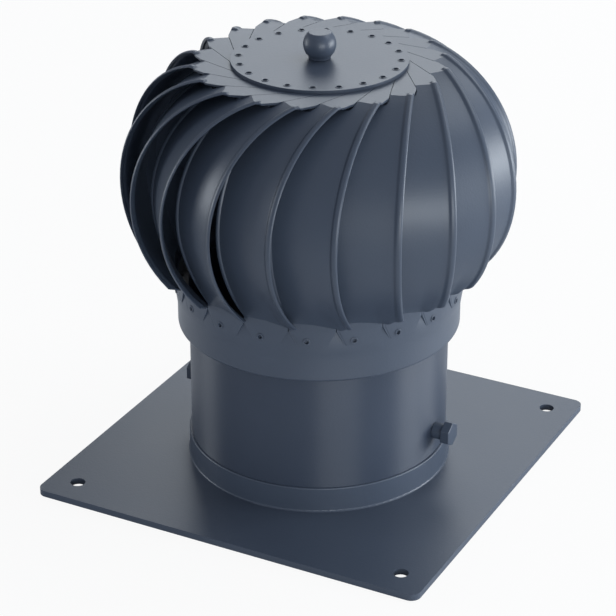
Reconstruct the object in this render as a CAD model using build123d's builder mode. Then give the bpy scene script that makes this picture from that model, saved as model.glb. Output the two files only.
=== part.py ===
# Rotating chimney cowl: a fixed base plate and neck tube, and a vaned head
# that the wind and the draught turn on a spindle. Millimetres, Z up, the
# origin at the middle of the plate's underside.
from build123d import *
from math import asin, cos, degrees, radians, sin, sqrt
import os

os.makedirs("parts", exist_ok=True)

# Driving dimensions
flue_bore = 150.0
plate_side = 250.0
vane_count = 20
head_width = 232.6
ring_foot = 92.8
disc_bottom = 255.0

# Clearances
seat_gap = 0.05
run_gap = 0.05
tile_gap = 0.3

# Base plate
plate_thick = 4.0
plate_corner = 6.0
plate_hole = 9.0
plate_hole_inset = 18.0
tube_wall = 1.5
tube_ledge = 1.0
collar_wall = 1.5
collar_height = 15.5
collar_root_fillet = 1.0

bore_radius = flue_bore / 2
tube_bore_radius = bore_radius + tube_ledge
tube_radius = tube_bore_radius + tube_wall
collar_radius = tube_radius + seat_gap + collar_wall
collar_top = plate_thick + collar_height
hole_offset = plate_side / 2 - plate_hole_inset

with BuildPart() as base_plate:
    with BuildSketch():
        RectangleRounded(plate_side, plate_side, plate_corner)
        Circle(bore_radius, mode=Mode.SUBTRACT)
        with GridLocations(2 * hole_offset, 2 * hole_offset, 2, 2):
            Circle(plate_hole / 2, mode=Mode.SUBTRACT)
    extrude(amount=plate_thick)
    with BuildSketch(Plane.XY.offset(plate_thick)):
        Circle(collar_radius)
        Circle(tube_radius + seat_gap, mode=Mode.SUBTRACT)
    extrude(amount=collar_top - plate_thick)
    collar_edges = base_plate.edges().filter_by(GeomType.CIRCLE)
    collar_edges = collar_edges.group_by(SortBy.RADIUS)[-1].sort_by(Axis.Z)
    fillet(collar_edges[0], collar_root_fillet)
    fillet(collar_edges[-1], collar_wall / 2)
base_plate.part.label = "base_plate"

# Neck tube, standing on the plate inside the collar
tube_overlap = 25.2
bolt_rise = 30.5
bolt_size = 8.0
bolt_play = 0.5

tube_top = ring_foot + tube_overlap
bolt_height = plate_thick + bolt_rise
bolt_hole = bolt_size + bolt_play

with BuildPart() as neck_tube:
    with BuildSketch(Plane.XY.offset(plate_thick)):
        Circle(tube_radius)
        Circle(tube_bore_radius, mode=Mode.SUBTRACT)
    extrude(amount=tube_top - plate_thick)
    with Locations(Location((0, 0, bolt_height), (0, 90, 0))):
        Cylinder(bolt_hole / 2, plate_side, mode=Mode.SUBTRACT)
neck_tube.part.label = "neck_tube"

# Crossbar, a flat bar with turned-down ends between the two clamp bolts
bar_width = 24.0
bar_thick = 4.0
bar_rise = 19.5
bar_drop = 10.5
bar_bend = 6.0
spindle_thread = 12.0

bar_top = bolt_height + bar_rise
bar_foot = bolt_height - bar_drop
bar_reach = sqrt((tube_bore_radius - seat_gap) ** 2 - (bar_width / 2) ** 2)

with BuildPart() as crossbar:
    with BuildSketch(Plane.XZ):
        with BuildLine():
            bar_line = FilletPolyline(
                (-bar_reach, bar_foot),
                (-bar_reach, bar_top),
                (bar_reach, bar_top),
                (bar_reach, bar_foot),
                radius=bar_bend,
            )
            offset(bar_line, bar_thick, side=Side.RIGHT)
        make_face()
    extrude(amount=bar_width / 2, both=True)
    with Locations(Location((0, 0, bolt_height), (0, 90, 0))):
        Cylinder(bolt_hole / 2, plate_side, mode=Mode.SUBTRACT)
    with Locations((0, 0, bar_top)):
        Cylinder(spindle_thread / 2 + seat_gap, plate_side / 4, mode=Mode.SUBTRACT)
crossbar.part.label = "crossbar"

# Clamp bolts, spacers and nuts, one set on each side of the tube
hex_flats = 13.0
bolt_head_thick = 5.5
spacer_length = 6.5
spacer_radius = 5.0
nut_thick = 6.5
bolt_end_past_nut = 2.0

spacer_start = tube_radius + seat_gap
head_start = spacer_start + spacer_length
nut_start = bar_reach - bar_thick - seat_gap
bolt_end = nut_start - nut_thick - bolt_end_past_nut
right_side = Plane((0, 0, bolt_height), x_dir=(0, 0, 1), z_dir=(1, 0, 0))

with BuildPart() as clamp_bolts:
    with BuildSketch(right_side.offset(head_start)):
        RegularPolygon(hex_flats / 2, 6, major_radius=False)
    extrude(amount=bolt_head_thick)
    with BuildSketch(right_side.offset(bolt_end)):
        Circle(bolt_size / 2)
    extrude(amount=head_start - bolt_end)
    mirror(about=Plane.YZ)
clamp_bolts.part.label = "clamp_bolts"

with BuildPart() as clamp_spacers:
    with BuildSketch(right_side.offset(spacer_start)):
        Circle(spacer_radius)
        Circle(bolt_size / 2 + seat_gap, mode=Mode.SUBTRACT)
    extrude(amount=spacer_length)
    mirror(about=Plane.YZ)
clamp_spacers.part.label = "clamp_spacers"

with BuildPart() as clamp_nuts:
    with BuildSketch(right_side.offset(nut_start)):
        RegularPolygon(hex_flats / 2, 6, major_radius=False)
        Circle(bolt_size / 2 + seat_gap, mode=Mode.SUBTRACT)
    extrude(amount=-nut_thick)
    mirror(about=Plane.YZ)
clamp_nuts.part.label = "clamp_nuts"

# Spindle, standing on the crossbar and held by a nut above and below it
spindle_shoulder = 2.0
spindle_past_nut = 4.0
spindle_past_bearing = 4.0
spindle_nut_flats = 19.0
spindle_nut_thick = 8.0
bearing_bore = 12.0
bearing_outside = 32.0
bearing_width = 10.0
bearing_spread = 46.0
inner_race_wall = 3.2
outer_race_wall = 3.4
shield_thick = 0.8
clip_thick = 1.2
clip_lap = 1.6
clip_groove = 0.5
housing_roof_thick = 8.0
housing_roof_gap = 7.0

spindle_radius = bearing_bore / 2
spindle_body = spindle_radius + spindle_shoulder
bearing_radius = bearing_outside / 2
inner_race_radius = spindle_radius + inner_race_wall
outer_race_bore = bearing_radius - outer_race_wall
housing_roof = disc_bottom - housing_roof_thick
upper_bearing_top = housing_roof - housing_roof_gap
upper_bearing_z = upper_bearing_top - bearing_width
lower_bearing_z = upper_bearing_z - bearing_spread
lower_bearing_top = lower_bearing_z + bearing_width
spindle_tip = upper_bearing_top + spindle_past_bearing
spindle_foot = bar_top - bar_thick - spindle_nut_thick - spindle_past_nut

with BuildPart() as spindle:
    with BuildSketch(Plane.XZ):
        with BuildLine():
            Polyline(
                (0, spindle_foot),
                (spindle_thread / 2, spindle_foot),
                (spindle_thread / 2, bar_top + spindle_nut_thick),
                (spindle_body, bar_top + spindle_nut_thick),
                (spindle_body, lower_bearing_z),
                (spindle_radius, lower_bearing_z),
                (spindle_radius, upper_bearing_top),
                (spindle_radius - clip_groove, upper_bearing_top),
                (spindle_radius - clip_groove, upper_bearing_top + clip_thick),
                (spindle_radius, upper_bearing_top + clip_thick),
                (spindle_radius, spindle_tip),
                (0, spindle_tip),
                close=True,
            )
        make_face()
    revolve(axis=Axis.Z)
spindle.part.label = "spindle"

with BuildPart() as spindle_nuts:
    for nut_base in (bar_top - bar_thick - spindle_nut_thick, bar_top):
        with BuildSketch(Plane.XY.offset(nut_base)):
            RegularPolygon(spindle_nut_flats / 2, 6, major_radius=False)
            Circle(spindle_thread / 2 + seat_gap, mode=Mode.SUBTRACT)
        extrude(amount=spindle_nut_thick)
spindle_nuts.part.label = "spindle_nuts"

with BuildPart() as spindle_clip:
    with BuildSketch(Plane.XY.offset(upper_bearing_top)):
        Circle(spindle_radius + clip_lap)
        Circle(spindle_radius - clip_groove + seat_gap, mode=Mode.SUBTRACT)
    extrude(amount=clip_thick)
spindle_clip.part.label = "spindle_clip"

with BuildPart() as inner_spacer:
    with BuildSketch(Plane.XY.offset(lower_bearing_top)):
        Circle(spindle_body)
        Circle(spindle_radius + seat_gap, mode=Mode.SUBTRACT)
    extrude(amount=upper_bearing_z - lower_bearing_top)
inner_spacer.part.label = "inner_spacer"

# Bearings, the inner race on the spindle and the outer race in the housing
inner_races = []
outer_races = []
for side, bearing_z in (("lower", lower_bearing_z), ("upper", upper_bearing_z)):
    with BuildPart() as inner_race:
        with BuildSketch(Plane.XY.offset(bearing_z)):
            Circle(inner_race_radius)
            Circle(spindle_radius + seat_gap, mode=Mode.SUBTRACT)
        extrude(amount=bearing_width)
    inner_race.part.label = side + "_bearing_inner_race"
    inner_races.append(inner_race.part)
    with BuildPart() as outer_race:
        with BuildSketch(Plane.XY.offset(bearing_z)):
            Circle(bearing_radius)
            Circle(inner_race_radius + run_gap, mode=Mode.SUBTRACT)
        extrude(amount=bearing_width)
        with BuildSketch(Plane.XY.offset(bearing_z + shield_thick)):
            Circle(outer_race_bore)
        extrude(amount=bearing_width - 2 * shield_thick, mode=Mode.SUBTRACT)
    outer_race.part.label = side + "_bearing_outer_race"
    outer_races.append(outer_race.part)

# Top disc, with a rivet hole for every vane; turns are in degrees from the
# vane's own heading
disc_radius = 51.0
disc_thick = 2.0
top_rivet_inset = 4.6
top_rivet_radius = 1.7
top_rivet_turn = 56.9
rivet_gap = 0.05
rivet_grip = 1.9
rivet_sink = 1.3
knob_stud_radius = 5.0
first_heading = 1.6

disc_top = disc_bottom + disc_thick
top_rivet_circle = disc_radius - top_rivet_inset
vane_pitch = 360 / vane_count
heading_zero = -90 + first_heading

with BuildPart() as top_disc:
    with BuildSketch(Plane.XY.offset(disc_bottom)):
        Circle(disc_radius)
        Circle(knob_stud_radius + seat_gap, mode=Mode.SUBTRACT)
        with PolarLocations(top_rivet_circle, vane_count, heading_zero + top_rivet_turn):
            Circle(top_rivet_radius + rivet_gap, mode=Mode.SUBTRACT)
    extrude(amount=disc_thick)
top_disc.part.label = "top_disc"

with BuildPart() as top_rivets:
    with BuildSketch(Plane.XY.offset(disc_bottom - rivet_grip)):
        with PolarLocations(top_rivet_circle, vane_count, heading_zero + top_rivet_turn):
            Circle(top_rivet_radius)
    extrude(amount=rivet_grip + disc_thick - rivet_sink)
top_rivets.part.label = "top_rivets"

# Bearing housing, a deep cup hanging under the disc round both bearings
housing_wall = 4.0
housing_skirt = 4.0
housing_flange_thick = 4.0
tab_depth = 6.4
tab_clearance = 4.0
stud_depth = 7.0

housing_foot = lower_bearing_z - housing_skirt
housing_radius = bearing_radius + seat_gap + housing_wall
tab_root_radius = top_rivet_circle - tab_depth
housing_flange_radius = tab_root_radius - tab_clearance

with BuildPart() as bearing_housing:
    with BuildSketch(Plane.XZ):
        with BuildLine():
            Polyline(
                (knob_stud_radius + seat_gap, disc_bottom),
                (housing_flange_radius, disc_bottom),
                (housing_flange_radius, disc_bottom - housing_flange_thick),
                (housing_radius, disc_bottom - housing_flange_thick),
                (housing_radius, housing_foot),
                (bearing_radius + seat_gap, housing_foot),
                (bearing_radius + seat_gap, lower_bearing_z - clip_thick),
                (bearing_radius + seat_gap + clip_groove, lower_bearing_z - clip_thick),
                (bearing_radius + seat_gap + clip_groove, lower_bearing_z),
                (bearing_radius + seat_gap, lower_bearing_z),
                (bearing_radius + seat_gap, upper_bearing_top),
                (outer_race_bore, upper_bearing_top),
                (outer_race_bore, housing_roof),
                (knob_stud_radius + seat_gap, housing_roof),
                close=True,
            )
        make_face()
    revolve(axis=Axis.Z)
bearing_housing.part.label = "bearing_housing"

with BuildPart() as outer_spacer:
    with BuildSketch(Plane.XY.offset(lower_bearing_top)):
        Circle(bearing_radius)
        Circle(outer_race_bore, mode=Mode.SUBTRACT)
    extrude(amount=upper_bearing_z - lower_bearing_top)
outer_spacer.part.label = "outer_spacer"

with BuildPart() as housing_clip:
    with BuildSketch(Plane.XY.offset(lower_bearing_z - clip_thick)):
        Circle(bearing_radius + clip_groove)
        Circle(bearing_radius - clip_lap, mode=Mode.SUBTRACT)
    extrude(amount=clip_thick)
housing_clip.part.label = "housing_clip"

# Ball knob, its stud holding the disc down on the housing
ball_radius = 9.5
ball_sink = 1.1
ball_cut = 2.4
neck_radius = 6.4

ball_height = disc_top + ball_radius - ball_sink
ball_flat = ball_height + ball_radius - ball_cut
stud_end = disc_bottom - stud_depth

with BuildPart() as ball_knob:
    with Locations((0, 0, ball_height)):
        Sphere(ball_radius)
    split(bisect_by=Plane.XY.offset(ball_flat), keep=Keep.BOTTOM)
    split(bisect_by=Plane.XY.offset(disc_top), keep=Keep.TOP)
    with BuildSketch(Plane.XY.offset(disc_top)):
        Circle(neck_radius)
    extrude(amount=ball_height - disc_top)
    with BuildSketch(Plane.XY.offset(stud_end)):
        Circle(knob_stud_radius)
    extrude(amount=disc_top - stud_end)
ball_knob.part.label = "ball_knob"

# Lower ring, the drum that carries the vanes' feet round the neck tube
ring_wall = 1.5
ring_clearance = 2.0
ring_lip_width = 4.7
ring_band_height = 13.2
ring_flare = 1.5
ring_flare_height = 10.5
ring_lean = 0.7
ring_seat_height = 8.5
ring_edge = 2.0
ring_rivet_rise = 3.2
ring_rivet_turn = 20.9
ring_rivet_radius = 1.55
rivet_tail = 0.4
foot_stand = 1.1

ring_lip_radius = tube_radius + ring_clearance
ring_radius = ring_lip_radius + ring_lip_width
ring_flare_z = ring_foot + ring_band_height
ring_seat_radius = ring_radius + ring_flare
ring_seat_z = ring_flare_z + ring_flare_height
ring_top_radius = ring_seat_radius - ring_lean
ring_top = ring_seat_z + ring_seat_height
ring_rivet_z = ring_seat_z + ring_rivet_rise
ring_rivet_start = ring_top_radius - ring_wall - rivet_tail
ring_rivet_length = ring_wall + rivet_tail
foot_top_radius = ring_seat_radius + foot_stand
ring_hole_length = foot_top_radius - ring_rivet_start + rivet_tail

with BuildPart() as lower_ring:
    with BuildSketch(Plane.XZ):
        with BuildLine():
            Polyline(
                (ring_lip_radius, ring_foot),
                (ring_radius, ring_foot),
                (ring_radius, ring_flare_z),
                (ring_seat_radius, ring_seat_z),
                (ring_top_radius, ring_top),
                (ring_top_radius - ring_wall, ring_top),
                (ring_seat_radius - ring_wall, ring_seat_z),
                (ring_radius - ring_wall, ring_flare_z),
                (ring_radius - ring_wall, ring_foot + ring_wall),
                (ring_lip_radius, ring_foot + ring_wall),
                close=True,
            )
        make_face()
    revolve(axis=Axis.Z)
    ring_edges = lower_ring.edges().filter_by(GeomType.CIRCLE)
    ring_edges = ring_edges.group_by(Axis.Z)[0].sort_by(SortBy.RADIUS)
    fillet(ring_edges[-1], ring_edge)
    with PolarLocations(ring_rivet_start, vane_count, heading_zero + ring_rivet_turn):
        with Locations(Location((0, 0, ring_rivet_z), (0, 90, 0))):
            Cylinder(
                ring_rivet_radius + rivet_gap,
                ring_hole_length,
                align=(Align.CENTER, Align.CENTER, Align.MIN),
                mode=Mode.SUBTRACT,
            )
lower_ring.part.label = "lower_ring"

with BuildPart() as ring_rivets:
    with PolarLocations(ring_rivet_start, vane_count, heading_zero + ring_rivet_turn):
        with Locations(Location((0, 0, ring_rivet_z), (0, 90, 0))):
            Cylinder(
                ring_rivet_radius,
                ring_rivet_length,
                align=(Align.CENTER, Align.CENTER, Align.MIN),
            )
ring_rivets.part.label = "ring_rivets"

# Vane foot, the pad riveted to the ring; it narrows and thins downwards
vane_thick = 1.3
foot_rise = 0.9
foot_lift = 0.2
foot_toe = 0.25
foot_middle_turn = 22.9
foot_spare_turn = 1.0
foot_low_left = 9.8
foot_low_right = 8.2
foot_height = 26.0
foot_notch = 1.0

foot_top_z = ring_top + foot_rise
foot_low_z = ring_seat_z + foot_lift
foot_low_radius = ring_seat_radius + foot_toe
foot_half_width = foot_top_radius * sin(radians(vane_pitch / 2)) - tile_gap / 2
foot_start = radians(vane_pitch / 2 + foot_spare_turn)
foot_plane = Plane(
    (0, 0, 0),
    x_dir=(cos(foot_start), -sin(foot_start), 0),
    z_dir=(-sin(foot_start), -cos(foot_start), 0),
)

with BuildPart() as foot_form:
    with BuildSketch(foot_plane):
        with BuildLine():
            Polyline(
                (ring_seat_radius + seat_gap, foot_low_z),
                (foot_low_radius, foot_low_z),
                (foot_top_radius, foot_top_z),
                (foot_top_radius, foot_low_z + foot_height),
                (foot_top_radius - vane_thick, foot_low_z + foot_height),
                (foot_top_radius - vane_thick, ring_top),
                (ring_top_radius + seat_gap, ring_top),
                close=True,
            )
        make_face()
    revolve(axis=Axis.Z, revolution_arc=vane_pitch + 2 * foot_spare_turn)
    with BuildSketch(Plane.YZ):
        Polygon(
            (-foot_low_left, foot_low_z),
            (foot_low_right, foot_low_z),
            (foot_half_width, foot_top_z),
            (foot_half_width, foot_low_z + foot_height),
            (foot_notch - foot_half_width, foot_low_z + foot_height),
            (foot_notch - foot_half_width, foot_top_z + foot_notch),
            (-foot_half_width, foot_top_z),
            align=None,
        )
    extrude(amount=foot_top_radius * 2, mode=Mode.INTERSECT)

# Vane form, a flat strip bent round a level axis and heading toward -Y; the
# edge at +X is the one that faces the wind and steps out into a raised lip
vane_outer_edge = 58.4
vane_inner_edge = 17.0
lip_width = 3.2
lip_rise = 1.0
lip_web = 0.7
lip_end_rise = 10.1
foot_end_rise = 5.1
bend_top_inset = 4.6
bend_foot_inset = 16.4
tab_corner_reach = 34.5
tab_edge_inset = 0.4
tab_edge_turn = 24.6
cover_share = 0.3
cover_margin = 13.6
cover_depth = 15.0

# The bend is the one arc that starts below the disc's edge, ends at the foot
# and touches the widest reach that the head's width allows on the way
bend_reach = sqrt((head_width / 2) ** 2 - vane_outer_edge**2) - lip_rise
bend_height = disc_bottom - foot_top_z
top_dip = bend_reach - (disc_radius - bend_top_inset)
foot_dip = bend_reach - (foot_top_radius - bend_foot_inset)
dip_step = top_dip - foot_dip
bend_slope = sqrt(top_dip * foot_dip * (bend_height**2 + dip_step**2))
bend_rise = (bend_slope - foot_dip * bend_height) / dip_step
bend_radius = (bend_rise**2 + foot_dip**2) / (2 * foot_dip)
lip_bend_radius = bend_radius + lip_rise
bend_axis_reach = bend_reach - bend_radius
bend_axis_z = foot_top_z + bend_rise
top_turn = degrees(asin((disc_bottom - bend_axis_z) / bend_radius))
foot_turn = degrees(asin(bend_rise / bend_radius))
tab_reach = bend_axis_reach + bend_radius * cos(radians(top_turn))
cover_reach = tab_reach + cover_margin
lip_end_z = foot_top_z + lip_end_rise
foot_end_z = foot_top_z + foot_end_rise
lip_reach = bend_axis_reach + lip_bend_radius * cos(radians(top_turn))
lip_top = bend_axis_z + lip_bend_radius * sin(radians(top_turn))
bend_line = Axis((0, -bend_axis_reach, bend_axis_z), (1, 0, 0))
bend_start = Plane(
    bend_line.position,
    x_dir=(1, 0, 0),
    z_dir=(0, -sin(radians(top_turn)), -cos(radians(top_turn))),
)


def on_disc(radius, turn):
    """A point in plan, by its distance from the spin axis and its turn."""
    return (radius * sin(radians(turn)), -radius * cos(radians(turn)))


# Outer edge of the tab in plan, from the bend inwards under the disc
tab_root_turn = top_rivet_turn + vane_pitch / 2
tab_edge = (
    (vane_outer_edge, -tab_reach),
    (vane_outer_edge, -tab_corner_reach),
    on_disc(disc_radius - tab_edge_inset, top_rivet_turn + tab_edge_turn),
    on_disc(top_rivet_circle, tab_root_turn),
    on_disc(tab_root_radius, tab_root_turn),
)
foot_corner = foot_top_radius * sin(radians(foot_middle_turn + vane_pitch / 2))
cover_edge = [Vector(x, y).rotate(Axis.Z, -vane_pitch) for x, y in tab_edge]
cover_corner = cover_edge[1] + (cover_edge[0] - cover_edge[1]) * cover_share

with BuildPart() as vane_strip:
    with BuildSketch(bend_start):
        Polygon(
            (vane_inner_edge, bend_radius - vane_thick),
            (vane_outer_edge - lip_width + lip_web, bend_radius - vane_thick),
            (vane_outer_edge - lip_width + lip_web, lip_bend_radius - vane_thick),
            (vane_outer_edge, lip_bend_radius - vane_thick),
            (vane_outer_edge, lip_bend_radius),
            (vane_outer_edge - lip_width, lip_bend_radius),
            (vane_outer_edge - lip_width, bend_radius),
            (vane_inner_edge, bend_radius),
            align=None,
        )
    revolve(axis=bend_line, revolution_arc=top_turn + foot_turn)
    with Locations((0, 0, foot_top_z)):
        Cylinder(foot_top_radius - vane_thick, foot_height, mode=Mode.SUBTRACT)
    with BuildSketch(Plane.XZ):
        Polygon(
            (foot_corner, foot_top_z - foot_height),
            (foot_corner, foot_end_z),
            (vane_outer_edge, lip_end_z),
            (vane_outer_edge + lip_width, lip_end_z),
            (vane_outer_edge + lip_width, foot_top_z - foot_height),
            align=None,
        )
    extrude(amount=head_width, mode=Mode.SUBTRACT)

with BuildPart() as vane_form:
    add(foot_form.part, rotation=(0, 0, foot_middle_turn - 90))
    with Locations(Location(bend_line.position, (0, 90, 0))):
        Cylinder(bend_radius - vane_thick / 2, plate_side, mode=Mode.SUBTRACT)
    add(vane_strip.part)
    with BuildSketch(Plane.XY.offset(disc_bottom - vane_thick)):
        Polygon(
            *tab_edge,
            (cover_edge[4].X, cover_edge[4].Y),
            (cover_edge[4].X, -tab_reach),
            align=None,
        )
    extrude(amount=vane_thick)
    with BuildSketch(Plane.YZ.offset(vane_outer_edge)):
        Polygon(
            (-tab_reach, disc_bottom),
            (-lip_reach, lip_top),
            (tab_edge[1][1], disc_bottom),
            align=None,
        )
    extrude(amount=-lip_width)
    with BuildSketch(Plane.XY.offset(disc_bottom + lip_rise)):
        Polygon(
            *[(v.X, v.Y) for v in reversed(cover_edge[1:])],
            (cover_corner.X, cover_corner.Y),
            (vane_inner_edge - vane_thick, -cover_reach),
            (0, -cover_reach),
            (0, cover_edge[4].Y),
            align=None,
        )
        offset(amount=tile_gap, kind=Kind.INTERSECTION)
    extrude(amount=-cover_depth, mode=Mode.SUBTRACT)
    with Locations((*on_disc(top_rivet_circle, top_rivet_turn), disc_bottom)):
        Cylinder(top_rivet_radius + rivet_gap, 2 * rivet_grip, mode=Mode.SUBTRACT)
    with PolarLocations(ring_rivet_start, 1, ring_rivet_turn - 90):
        with Locations(Location((0, 0, ring_rivet_z), (0, 90, 0))):
            Cylinder(
                ring_rivet_radius + rivet_gap,
                ring_hole_length,
                align=(Align.CENTER, Align.CENTER, Align.MIN),
                mode=Mode.SUBTRACT,
            )

# Vanes, one piece each, spaced evenly round the head
vanes = []
for vane_number in range(vane_count):
    with BuildPart() as vane:
        add(vane_form.part, rotation=(0, 0, first_heading + vane_number * vane_pitch))
    vane.part.label = f"vane_{vane_number + 1:02d}"
    vanes.append(vane.part)

# One file for each piece
single_pieces = (
    base_plate,
    neck_tube,
    crossbar,
    clamp_bolts,
    clamp_spacers,
    clamp_nuts,
    spindle,
    spindle_nuts,
    spindle_clip,
    inner_spacer,
    top_disc,
    top_rivets,
    bearing_housing,
    outer_spacer,
    housing_clip,
    ball_knob,
    lower_ring,
    ring_rivets,
)
for piece in [single.part for single in single_pieces] + inner_races + outer_races + vanes:
    export_step(piece, f"parts/{piece.label}.step")
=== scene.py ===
from math import asin, cos, radians, sin, sqrt

import bmesh
import bpy
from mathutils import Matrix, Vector


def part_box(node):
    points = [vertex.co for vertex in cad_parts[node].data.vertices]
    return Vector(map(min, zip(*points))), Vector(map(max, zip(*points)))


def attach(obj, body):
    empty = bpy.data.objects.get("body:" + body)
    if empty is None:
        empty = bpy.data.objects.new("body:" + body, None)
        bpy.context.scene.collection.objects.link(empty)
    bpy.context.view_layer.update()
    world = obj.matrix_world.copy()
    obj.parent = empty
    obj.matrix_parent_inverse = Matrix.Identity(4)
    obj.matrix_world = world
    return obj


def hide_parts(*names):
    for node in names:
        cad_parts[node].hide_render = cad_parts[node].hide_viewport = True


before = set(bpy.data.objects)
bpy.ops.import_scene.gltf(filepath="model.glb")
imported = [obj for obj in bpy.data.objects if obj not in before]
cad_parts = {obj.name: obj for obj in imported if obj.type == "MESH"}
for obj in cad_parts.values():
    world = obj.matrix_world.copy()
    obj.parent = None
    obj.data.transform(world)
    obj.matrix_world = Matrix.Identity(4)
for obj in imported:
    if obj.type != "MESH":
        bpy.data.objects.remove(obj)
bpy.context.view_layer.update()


# Base plate: a square moulded plate with rounded corners, an upturned collar
# and four screw holes, in anthracite plastic. It is the CAD's own plate with
# its sharp edges eased, and it lies flat on the chimney.
mm = 0.001
cloud_scale = 14.0
grain_scale = 900.0
cloud_tone = 0.8
grain_tone = 0.2
dark_stop = 0.3
light_stop = 0.7
cloud_gloss = 0.08
grain_gloss = 0.05
grain_strength = 0.12
grain_depth = 0.0004
rolled_turn = 0.25
merge_gap = 0.002
flat_turn = 0.5
sharp_turn = 40.0
crease_turn = 35.0


class Wire:
    """One socket's value, so that shader maths reads as plain sums."""

    def __init__(self, finish, socket):
        self.finish = finish
        self.socket = socket

    def sum(self, operation, first, second):
        return self.finish.node(
            "ShaderNodeMath", {"operation": operation}, {0: first, 1: second}
        )

    def __add__(self, other):
        return self.sum("ADD", self, other)

    def __radd__(self, other):
        return self.sum("ADD", other, self)

    def __mul__(self, other):
        return self.sum("MULTIPLY", self, other)

    def __rmul__(self, other):
        return self.sum("MULTIPLY", other, self)


class Finish:
    """The nodes of a material, or of the world, under construction."""

    def __init__(self, owner):
        owner.use_nodes = True
        self.owner = owner
        self.tree = owner.node_tree

    def link(self, value, socket):
        if isinstance(value, Wire):
            self.tree.links.new(value.socket, socket)
        else:
            socket.default_value = value

    def node(self, kind, settings, inputs, output=0):
        made = self.tree.nodes.new(kind)
        for name, value in settings.items():
            if name == "stops":
                for stop, (spot, colour) in zip(made.color_ramp.elements, value):
                    stop.position = spot
                    stop.color = colour
            else:
                setattr(made, name, value)
        for name, value in inputs.items():
            self.link(value, made.inputs[name])
        return Wire(self, made.outputs[output])

    def fill(self, node, **values):
        for name, value in values.items():
            self.link(value, self.tree.nodes[node].inputs[name.replace("_", " ")])


def satin_finish(name, dark, light, shine, metal=0.0, rolled=0.0):
    """Cloudy tone, fine moulding grain and a satin gloss, drawn out upwards if rolled."""
    finish = Finish(bpy.data.materials.new(name))
    place = finish.node("ShaderNodeTexCoord", {}, {}, "Object")
    cloud = finish.node(
        "ShaderNodeTexNoise", {}, {"Vector": place, "Scale": cloud_scale, "Detail": 3.0}
    )
    grain = finish.node(
        "ShaderNodeTexNoise", {}, {"Vector": place, "Scale": grain_scale, "Detail": 2.0}
    )
    tone = finish.node(
        "ShaderNodeValToRGB",
        {"stops": ((dark_stop, (*dark, 1.0)), (light_stop, (*light, 1.0)))},
        {"Fac": cloud_tone * cloud + grain_tone * grain},
    )
    bump = finish.node(
        "ShaderNodeBump",
        {},
        {"Height": grain, "Strength": grain_strength, "Distance": grain_depth},
    )
    finish.fill(
        "Principled BSDF",
        Base_Color=tone,
        Roughness=shine + cloud_gloss * cloud + grain_gloss * grain,
        Metallic=metal,
        Anisotropic=rolled,
        Anisotropic_Rotation=rolled_turn,
        Normal=bump,
    )
    return finish.owner


def choose(piece):
    """Leaves one piece selected and active."""
    bpy.ops.object.select_all(action="DESELECT")
    piece.select_set(True)
    bpy.context.view_layer.objects.active = piece


def apply_modifier(piece, kind, **settings):
    modifier = piece.modifiers.new(kind.lower(), kind)
    for name, value in settings.items():
        setattr(modifier, name, value)
    bpy.context.view_layer.objects.active = piece
    bpy.ops.object.modifier_apply(modifier=modifier.name)


def ease_edges(piece, width, segments, turn):
    """Rounds the edges at which the surface turns by more than so many degrees."""
    apply_modifier(
        piece,
        "BEVEL",
        width=width * mm,
        segments=segments,
        limit_method="ANGLE",
        angle_limit=radians(turn),
    )


def smooth(piece):
    """Smooth shading that leaves flat faces flat and creases sharp."""
    choose(piece)
    bpy.ops.object.shade_smooth_by_angle(angle=radians(crease_turn))
    apply_modifier(piece, "WEIGHTED_NORMAL", keep_sharp=True, weight=100)


def eased_copy(node, name, ease, segments=2):
    """A copy of a CAD node with its sharp edges rounded by ease, in mm."""
    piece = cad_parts[node].copy()
    piece.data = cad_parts[node].data.copy()
    piece.name = name
    piece.data.name = name
    for key in list(piece.keys()):
        del piece[key]
    piece.parent = None
    bpy.context.scene.collection.objects.link(piece)
    choose(piece)
    bpy.ops.object.mode_set(mode="EDIT")
    bpy.ops.mesh.select_all(action="SELECT")
    bpy.ops.mesh.remove_doubles(threshold=merge_gap * mm)
    bpy.ops.mesh.dissolve_limited(angle_limit=radians(flat_turn))
    bpy.ops.mesh.normals_make_consistent(inside=False)
    bpy.ops.object.mode_set(mode="OBJECT")
    ease_edges(piece, ease, segments, sharp_turn)
    smooth(piece)
    return piece


def settle(piece, material, slot, body, *nodes):
    """Gives a piece its material and body, and hides the CAD nodes that it stands for; slot
    is not used.
    """
    piece.data.materials.clear()
    piece.data.materials.append(material)
    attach(piece, body)
    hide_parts(*nodes)


plastic_dark = (0.049, 0.063, 0.090)
plastic_light = (0.057, 0.073, 0.104)
plastic_shine = 0.32
plate_ease = 0.5
cowl_plastic = satin_finish("cowl_plastic", plastic_dark, plastic_light, plastic_shine)
plate = eased_copy("base_plate", "dressed_base_plate", plate_ease)
settle(plate, cowl_plastic, "cowl_plastic", "base", "base_plate")


# Neck tube: a plain length of round pipe that stands in the plate's collar.
# It is the CAD's own tube, a little darker than the plate and with a gloss
# that is drawn out upwards, as on rolled sheet.
def dress(material, *nodes):
    """Gives CAD nodes that stay as they are their finish."""
    for name in nodes:
        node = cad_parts[name]
        node.data.materials.clear()
        node.data.materials.append(material)


tube_dark = (0.034, 0.045, 0.069)
tube_light = (0.040, 0.053, 0.080)
tube_shine = 0.34
tube_rolled = 0.9
rolled_sheet = satin_finish(
    "rolled_sheet", tube_dark, tube_light, tube_shine, rolled=tube_rolled
)
dress(rolled_sheet, "neck_tube")

# Lower ring: the drum that carries the vanes' feet and turns round the neck
# tube with a small running gap. It is the CAD's ring with its edges eased, in
# the vanes' plastic with some of the tube's drawn-out gloss.
ring_ease = 0.3
ring_rolled = 0.5
ring_plastic = satin_finish(
    "ring_plastic", plastic_dark, plastic_light, plastic_shine, rolled=ring_rolled
)
ring = eased_copy("lower_ring", "dressed_lower_ring", ring_ease)
settle(ring, ring_plastic, "cowl_plastic", "head", "lower_ring")

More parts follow.
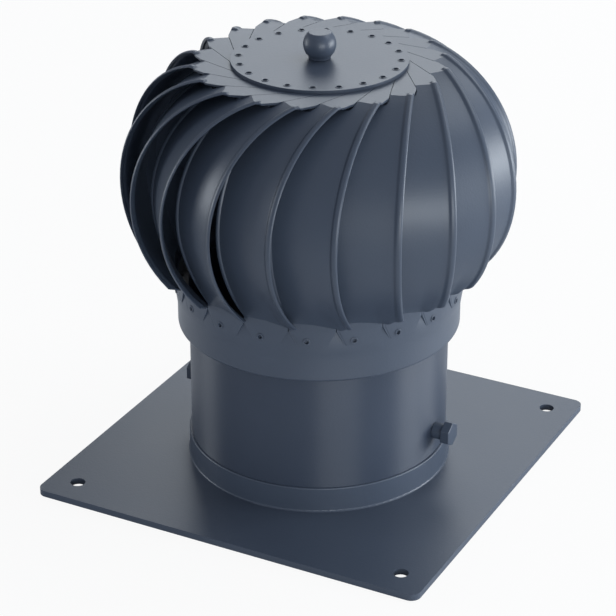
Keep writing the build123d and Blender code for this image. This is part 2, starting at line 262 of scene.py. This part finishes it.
# Top disc: a thin round lid over the vanes' tabs, with a rivet hole for every
# vane. It is the CAD's disc with its rim and hole edges eased.
disc_ease = 0.35
disc = eased_copy("top_disc", "dressed_top_disc", disc_ease)
settle(disc, cowl_plastic, "cowl_plastic", "head", "top_disc")


# Vanes: twenty moulded strips, each bent round its own level line, with a
# thin bead on the inner edge, a rounded rail on the outer one, a tab under
# the disc and a foot on the ring. One is shaped and the rest are copies.
def pick(kind, test):
    """Selects the corners, edges or faces whose middle, in mm, passes the test."""
    bpy.ops.mesh.select_mode(type=kind)
    bpy.ops.mesh.select_all(action="DESELECT")
    shape = bmesh.from_edit_mesh(bpy.context.object.data)
    if kind == "VERT":
        for corner in shape.verts:
            corner.select_set(bool(test(corner.co / mm)))
    elif kind == "EDGE":
        for edge in shape.edges:
            ends = edge.verts[0].co + edge.verts[1].co
            edge.select_set(bool(test(ends / (2 * mm))))
    else:
        for face in shape.faces:
            face.select_set(bool(test(face.calc_center_median() / mm)))
    shape.select_flush_mode()
    bmesh.update_edit_mesh(bpy.context.object.data)


def move(across, ahead, up):
    bpy.ops.transform.translate(value=(across * mm, ahead * mm, up * mm))


def pull_out(across, ahead, up):
    bpy.ops.mesh.extrude_region_move(
        TRANSFORM_OT_translate={"value": (across * mm, ahead * mm, up * mm)}
    )


def scale_about(point, across, ahead, up):
    bpy.ops.transform.resize(
        value=(across, ahead, up), center_override=[part * mm for part in point]
    )


def cut(point, normal, drop=False, fill=False):
    """Cuts the selection along a plane, and drops the side the normal faces."""
    bpy.ops.mesh.bisect(
        plane_co=[part * mm for part in point],
        plane_no=normal,
        clear_outer=drop,
        use_fill=fill,
    )


def face_outwards():
    bpy.ops.mesh.select_all(action="SELECT")
    bpy.ops.mesh.normals_make_consistent(inside=False)


vane_count = 20
first_heading = 1.6
vane_pitch = 360.0 / vane_count
vane_thick = 1.3
vane_ease = 0.25
vane_ease_turn = 60.0
near = 0.05
weld_gap = 0.01

# The bend, seen from the side
bend_reach = 99.574
bend_radius = 73.36
bend_steps = 30
axis_height = 184.45
tab_height = 255.0
crease_height = 131.0
axis_reach = bend_reach - bend_radius
top_turn = asin((tab_height - axis_height) / bend_radius)
end_turn = asin((axis_height - crease_height) / bend_radius)
crease_reach = axis_reach + bend_radius * cos(end_turn)
step_turn = (top_turn + end_turn) / bend_steps

# The strip's cross-section, as distances across it and rises above it
inner_edge = 17.0
rail_edge = 58.4
foot_edge = 45.9
bead = ((inner_edge, 0.6), (17.2, 1.0), (18.0, 1.0), (18.5, 0.7), (19.0, 0.0))
plain = ((25.0, 0.0), (31.0, 0.0), (37.0, 0.0), (42.0, 0.0), (foot_edge, 0.0), (50.0, 0.0))
rail = ((53.4, 0.0), (54.1, 0.12), (54.7, 0.5), (55.2, 0.85), (55.8, 1.0), (56.8, 1.0))
rim = ((57.5, 0.85), (58.1, 0.5), (rail_edge, 0.0))
section = bead + plain + rail + rim

bpy.ops.object.select_all(action="DESELECT")
bpy.ops.mesh.primitive_plane_add(size=2 * mm)
vane = bpy.context.object
vane.name = "dressed_vane_01"
bpy.ops.object.mode_set(mode="EDIT")
bpy.ops.mesh.select_all(action="SELECT")
bpy.ops.mesh.merge(type="CENTER")
first_rise = bend_radius + section[0][1]
move(
    inner_edge,
    -axis_reach - first_rise * cos(top_turn),
    axis_height + first_rise * sin(top_turn),
)
for (across, rise), (next_across, next_rise) in zip(section, section[1:]):
    step = next_rise - rise
    pull_out(next_across - across, -step * cos(top_turn), step * sin(top_turn))
bpy.ops.mesh.select_all(action="SELECT")
bpy.ops.mesh.spin(
    steps=bend_steps,
    angle=-(top_turn + end_turn),
    center=(0, -axis_reach * mm, axis_height * mm),
    axis=(1, 0, 0),
)

# The lower inner corner twists out until its edge lies round the ring
foot_radius = 86.8
twist_steps = 8
foot_shift = 4.5
foot_span = 29.0
rail_follow = 0.25
edge_drop = 3.0
drop_start = 33.0
drop_span = 13.0
for row in range(twist_steps):
    turn = end_turn - row * step_turn
    share = (1 - row / twist_steps) ** 2
    for across, rise in bead + plain:
        reach = axis_reach + (bend_radius + rise) * cos(turn)
        height = axis_height - (bend_radius + rise) * sin(turn)
        sideways = max(0.0, foot_shift * (foot_edge - across) / foot_span)
        outward = sqrt(foot_radius**2 - (across + sideways) ** 2) - crease_reach - rise
        if across > foot_edge:
            outward = outward * rail_follow
        drop = edge_drop * min(1.0, max(0.0, across - drop_start) / drop_span)
        pick(
            "VERT",
            lambda at: abs(at.x - across) < near
            and abs(at.z - height) < near
            and abs(at.y + reach) < near,
        )
        move(sideways * share, -outward * share, -drop * share)

# The foot goes on down from that edge, and narrows to its lower end
foot_top = 125.9
foot_low = 116.75
foot_turn = radians(22.9)
foot_start = 2.0
foot_lean_top = 0.3
foot_lean_low = 0.5
foot_taper = 0.64
edge_slack = 0.1
bead_slack = 0.8
pick("VERT", lambda at: at.x < foot_edge + edge_slack and at.z < crease_height + bead_slack)
bpy.ops.mesh.mark_sharp()
foot_way = Vector((sin(foot_turn), -cos(foot_turn), 0))
pull_out(0, 0, -foot_start)
scale_about((0, 0, foot_top), 1, 1, 0)
move(*(-foot_lean_top * foot_way))
pull_out(0, 0, foot_low - foot_top)
scale_about(foot_way * foot_radius, foot_taper, foot_taper, 1)
move(*(-foot_lean_low * foot_way))

# The rail's lower end is cut off at a slant
rail_end = (foot_edge, 0, 126.6)
rail_end_way = (0.48, 0, -0.877)
rail_end_zone = 145.0
pick("FACE", lambda at: at.x > foot_edge and at.z < rail_end_zone)
cut(rail_end, rail_end_way, drop=True)

# The tab: level, trimmed to its neighbour, its rail ending in a low nose
tab_edge_drop = 0.2
tab_edge_reach = 20.8
nose_length = 2.6
nose_slope = 1.2
tab_length = 36.0
tab_slack = 0.05
tab_zone = 240.0
tab_side = (rail_edge, -34.5, 0)
tab_side_way = (0.955, 0.297, 0)
neighbour_corner = Vector((45.2, -50.9, 0))
neighbour_cuts = (
    (neighbour_corner, Vector((1, -0.014, 0))),
    (neighbour_corner, Vector((0.951, -0.31, 0))),
    (Vector((43.8, -54.3, 0)), Vector((0.2, -0.98, 0))),
)
pick(
    "EDGE",
    lambda at: at.z > tab_height - tab_edge_drop and at.y > -axis_reach - tab_edge_reach,
)
bpy.ops.mesh.mark_sharp()
pull_out(0, nose_length, 0)
pull_out(0, nose_slope, 0)
scale_about((0, 0, tab_height), 1, 1, 0)
pull_out(0, tab_length, 0)
pick("FACE", lambda at: at.z > tab_height - tab_slack)
cut(tab_side, tab_side_way, drop=True)
for point, normal in neighbour_cuts:
    pick("FACE", lambda at: at.z > tab_zone)
    cut(point, normal)
pick(
    "FACE",
    lambda at: at.z > tab_zone
    and all((at - point).dot(normal) < 0 for point, normal in neighbour_cuts),
)
bpy.ops.mesh.delete(type="FACE")

# The strip gets its outer side, its wall and the hole for its ring rivet
middle_band = 5.0
rivet_body = 1.6
drill_play = 0.05
drill_length = 8.0
drill_sides = 24
foot_hole_turn = 20.9
foot_hole_height = 119.7
foot_hole_radius = 86.25
bpy.ops.mesh.select_all(action="SELECT")
bpy.ops.mesh.remove_doubles(threshold=weld_gap * mm)
face_outwards()
bpy.ops.object.mode_set(mode="OBJECT")
middle_faces = [
    face for face in vane.data.polygons if abs(face.center.z / mm - axis_height) < middle_band
]
if sum(face.normal.y for face in middle_faces) > 0:
    bpy.ops.object.mode_set(mode="EDIT")
    bpy.ops.mesh.select_all(action="SELECT")
    bpy.ops.mesh.flip_normals()
    bpy.ops.object.mode_set(mode="OBJECT")
apply_modifier(vane, "SOLIDIFY", thickness=vane_thick * mm, offset=-1.0)
hole_way = Vector((sin(radians(foot_hole_turn)), -cos(radians(foot_hole_turn)), 0))
bpy.ops.object.select_all(action="DESELECT")
bpy.ops.mesh.primitive_cylinder_add(
    vertices=drill_sides,
    radius=(rivet_body + drill_play) * mm,
    depth=drill_length * mm,
    location=(hole_way * foot_hole_radius + Vector((0, 0, foot_hole_height))) * mm,
    rotation=(radians(90), 0, radians(foot_hole_turn)),
)
drill = bpy.context.object
apply_modifier(vane, "BOOLEAN", operation="DIFFERENCE", object=drill, solver="EXACT")
bpy.data.objects.remove(drill)
ease_edges(vane, vane_ease, 2, vane_ease_turn)

vanes = [vane]
for number in range(1, vane_count):
    following = vane.copy()
    following.data = vane.data.copy()
    bpy.context.scene.collection.objects.link(following)
    vanes.append(following)
for number, piece in enumerate(vanes):
    choose(piece)
    piece.name = f"dressed_vane_{number + 1:02d}"
    piece.rotation_euler.z = radians(first_heading + number * vane_pitch)
    bpy.ops.object.transform_apply(location=False, rotation=True, scale=False)
    smooth(piece)
    settle(piece, cowl_plastic, "cowl_plastic", "head", f"vane_{number + 1:02d}")


# Rivets: hollow, with a low rounded flange, twenty through the disc into the
# tabs and twenty through the feet into the ring. One of each kind is shaped
# and copied round the head, and each twenty become one piece.
rivet_sides = 24
rivet_flange = 2.2
rivet_ease = 0.22
bore_depth = 1.4
rivet_top_slack = 0.01


def hollow_rivet(grip, flange_rise, bore):
    """A hollow rivet that points up, its flange seated at the origin."""
    bpy.ops.object.select_all(action="DESELECT")
    bpy.ops.mesh.primitive_cylinder_add(
        vertices=rivet_sides,
        radius=rivet_body * mm,
        depth=grip * mm,
        location=(0, 0, -grip / 2 * mm),
    )
    bpy.ops.object.transform_apply(location=True, rotation=False, scale=False)
    rivet = bpy.context.object
    bpy.ops.object.mode_set(mode="EDIT")
    pick("FACE", lambda at: at.z > -rivet_top_slack)
    pull_out(0, 0, 0)
    spread = rivet_flange / rivet_body
    scale_about((0, 0, 0), spread, spread, 1)
    pull_out(0, 0, flange_rise)
    bpy.ops.mesh.inset(thickness=(rivet_flange - bore) * mm)
    pull_out(0, 0, -flange_rise - bore_depth)
    face_outwards()
    bpy.ops.object.mode_set(mode="OBJECT")
    ease_edges(rivet, rivet_ease, 2, sharp_turn)
    return rivet


def rivet_ring(name, rivet, radius, height, tip, first_turn):
    """Copies a rivet round the spin axis and joins the copies into one piece."""
    copies = []
    for number in range(vane_count):
        turned = rivet.copy()
        turned.data = rivet.data.copy()
        bpy.context.scene.collection.objects.link(turned)
        heading = radians(first_turn + number * vane_pitch)
        turned.location = Vector((sin(heading), -cos(heading), 0)) * radius * mm
        turned.location.z = height * mm
        turned.rotation_euler = (radians(tip), 0, heading)
        copies.append(turned)
    bpy.data.objects.remove(rivet)
    bpy.ops.object.select_all(action="DESELECT")
    for turned in copies:
        turned.select_set(True)
    bpy.context.view_layer.objects.active = copies[0]
    bpy.ops.object.transform_apply(location=True, rotation=True, scale=False)
    bpy.ops.object.join()
    joined = bpy.context.object
    joined.name = name
    smooth(joined)
    return joined


disc_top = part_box("top_disc")[1][2] / mm
top_rivet = hollow_rivet(grip=1.8, flange_rise=0.25, bore=1.5)
top_rivet_radius = 46.4
top_rivet_turn = 56.9
top_rivets = rivet_ring(
    "dressed_top_rivets",
    top_rivet,
    top_rivet_radius,
    disc_top,
    0,
    first_heading + top_rivet_turn,
)
settle(top_rivets, cowl_plastic, "cowl_plastic", "head", "top_rivets")
ring_rivet = hollow_rivet(grip=2.5, flange_rise=0.4, bore=1.25)
ring_rivets = rivet_ring(
    "dressed_ring_rivets",
    ring_rivet,
    foot_hole_radius,
    foot_hole_height,
    90,
    first_heading + foot_hole_turn,
)
settle(ring_rivets, cowl_plastic, "cowl_plastic", "head", "ring_rivets")

# Ball knob: a turned plastic ball with a flat top on a short neck, screwed
# into the bearing housing through the middle of the disc. It is cut from a
# ball, and its neck is drawn down from the lower cut.
ball_radius = 9.5
ball_height = disc_top + 8.4
ball_flat = disc_top + 15.5
ball_sides = 64
ball_rings = 40
neck_radius = 6.4
neck_top = ball_height - sqrt(ball_radius**2 - neck_radius**2)
neck_lift = 0.02
neck_slack = 0.001
ball_ease = 0.5
ball_ease_turn = 30.0
bpy.ops.object.select_all(action="DESELECT")
bpy.ops.mesh.primitive_uv_sphere_add(
    segments=ball_sides,
    ring_count=ball_rings,
    radius=ball_radius * mm,
    location=(0, 0, ball_height * mm),
)
bpy.ops.object.transform_apply(location=True, rotation=False, scale=False)
knob = bpy.context.object
knob.name = "dressed_ball_knob"
bpy.ops.object.mode_set(mode="EDIT")
bpy.ops.mesh.select_all(action="SELECT")
cut((0, 0, ball_flat), (0, 0, 1), drop=True, fill=True)
bpy.ops.mesh.select_all(action="SELECT")
cut((0, 0, neck_top), (0, 0, -1), drop=True)
pick("EDGE", lambda at: at.z < neck_top + neck_slack)
pull_out(0, 0, disc_top + neck_lift - neck_top)
bpy.ops.mesh.edge_face_add()
face_outwards()
bpy.ops.object.mode_set(mode="OBJECT")
ease_edges(knob, ball_ease, 3, ball_ease_turn)
smooth(knob)
settle(knob, cowl_plastic, "cowl_plastic", "head", "ball_knob")

# Clamp bolts: hexagon bolts through the neck tube, in the plate's own finish.
# They are the CAD's bolts with the heads' corners eased, and each stands off
# the tube on a short sleeve.
bolt_ease = 1.3
bolts = eased_copy("clamp_bolts", "dressed_clamp_bolts", bolt_ease, 3)
settle(bolts, cowl_plastic, "dark_fastener", "base", "clamp_bolts")

# Clamp spacers: those sleeves, plain rings between the bolt heads and the
# tube. They are the CAD's rings with eased rims.
spacer_ease = 0.3
spacers = eased_copy("clamp_spacers", "dressed_clamp_spacers", spacer_ease)
settle(spacers, cowl_plastic, "dark_fastener", "base", "clamp_spacers")

# Steel inside: the crossbar, spindle, nuts, clips and bearings, brushed and
# left bare. They stay as the CAD has them, out of sight in the neck.
steel_dark = (0.42, 0.42, 0.43)
steel_light = (0.5, 0.5, 0.51)
steel_shine = 0.28
bare_steel = satin_finish("bare_steel", steel_dark, steel_light, steel_shine, metal=1.0)
dress(bare_steel, "crossbar", "clamp_nuts", "spindle", "spindle_nuts", "spindle_clip")
dress(bare_steel, "inner_spacer", "outer_spacer", "housing_clip", "bearing_housing")
for side in ("lower", "upper"):
    dress(bare_steel, side + "_bearing_inner_race", side + "_bearing_outer_race")

# Camera: at the photograph's own distance, height and lens.
camera_place = (0.58146, -1.1314, 0.74056)
camera_fall = 26.8092
camera_turn = 27.4987
lens = bpy.data.cameras.new("photo_camera")
lens.lens = 139.32
lens.sensor_width = 36.0
lens.clip_start = 0.01
photo_camera = bpy.data.objects.new("photo_camera", lens)
photo_camera.location = camera_place
photo_camera.rotation_euler = (radians(90 - camera_fall), 0.0, radians(camera_turn))
bpy.context.scene.collection.objects.link(photo_camera)
bpy.context.scene.camera = photo_camera

# Lights: soft boxes that face the middle of the cowl, each placed by its turn
# from the camera's side, anticlockwise seen from above, and its height, both
# in degrees. Their light is slightly cool.
lamp_tint = (0.89, 0.95, 1.0)
lamp_distance = 1.5
lamp_aim = Vector((0, 0, 0.14))
lamp_turn = 27.5 - 90


def softbox(name, turn, height, width, tall, power):
    lamp = bpy.data.lights.new(name, "AREA")
    lamp.shape = "RECTANGLE"
    lamp.size = width
    lamp.size_y = tall
    lamp.energy = power
    lamp.color = lamp_tint
    box = bpy.data.objects.new(name, lamp)
    heading = radians(lamp_turn + turn)
    rise = radians(height)
    way = Vector((cos(heading) * cos(rise), sin(heading) * cos(rise), sin(rise)))
    box.location = lamp_aim + way * lamp_distance
    box.rotation_euler = way.to_track_quat("Z", "Y").to_euler()
    bpy.context.scene.collection.objects.link(box)


softbox("right_softbox", turn=80, height=5, width=0.6, tall=0.5, power=12.0)
softbox("far_right_softbox", turn=102, height=5, width=0.4, tall=0.5, power=7.5)
softbox("near_softbox", turn=16, height=5, width=0.9, tall=0.5, power=9.5)
softbox("left_softbox", turn=256, height=5, width=0.5, tall=0.5, power=5.5)
softbox("back_softbox", turn=172, height=28, width=1.0, tall=0.7, power=5.8)
softbox("overhead_softbox", turn=110, height=54, width=1.2, tall=0.8, power=8.5)

# Floor: a plain sheet of pale paper just under the plate. The camera sees it
# nearly white, and it keeps the cowl's shadow.
floor_size = 8.0
floor_drop = 0.2
floor_tone = (0.75, 0.75, 0.75, 1.0)
floor_shine = 0.85
fibre_shine = 0.1
fibre_scale = 60.0
floor_white = 0.92
floor_gloss = 0.05
white_tone = (1, 1, 1, 1)
bpy.ops.object.select_all(action="DESELECT")
bpy.ops.mesh.primitive_plane_add(size=floor_size, location=(0, 0, -floor_drop * mm))
floor = bpy.context.object
floor.name = "floor"
paper = Finish(bpy.data.materials.new("floor_paper"))
place = paper.node("ShaderNodeTexCoord", {}, {}, "Object")
fibre = paper.node(
    "ShaderNodeTexNoise", {}, {"Vector": place, "Scale": fibre_scale, "Detail": 2.0}
)
paper.fill(
    "Principled BSDF", Base_Color=floor_tone, Roughness=floor_shine + fibre_shine * fibre
)
seen = paper.node("ShaderNodeLightPath", {}, {}, "Is Camera Ray")
mirrored = paper.node("ShaderNodeLightPath", {}, {}, "Is Glossy Ray")
through = paper.node("ShaderNodeLightPath", {}, {}, "Is Transmission Ray")
glow = paper.node("ShaderNodeEmission", {}, {"Color": white_tone, "Strength": 1.0})
matt = Wire(paper, paper.tree.nodes["Principled BSDF"].outputs["BSDF"])
white_share = floor_white * seen + floor_white * through + floor_gloss * mirrored
mixed = paper.node("ShaderNodeMixShader", {}, {0: white_share, 1: matt, 2: glow})
paper.fill("Material Output", Surface=mixed)
floor.data.materials.append(paper.owner)

# World: dim cool light from all round. The camera sees it white, and glossy
# faces show a little of that white.
world_tint = (0.8, 0.87, 1.0, 1)
world_light = 0.34
world_gloss = 0.1
sky = Finish(bpy.data.worlds.new("studio_world"))
bpy.context.scene.world = sky.owner
sky.fill("Background", Color=world_tint, Strength=world_light)
dim = Wire(sky, sky.tree.nodes["Background"].outputs[0])
white = sky.node("ShaderNodeBackground", {}, {"Color": white_tone})
seen = sky.node("ShaderNodeLightPath", {}, {}, "Is Camera Ray")
mirrored = sky.node("ShaderNodeLightPath", {}, {}, "Is Glossy Ray")
through = sky.node("ShaderNodeLightPath", {}, {}, "Is Transmission Ray")
white_share = seen + through + world_gloss * mirrored
mixed = sky.node("ShaderNodeMixShader", {}, {0: white_share, 1: dim, 2: white})
sky.fill("World Output", Surface=mixed)

bpy.context.scene.view_settings.view_transform = "Standard"
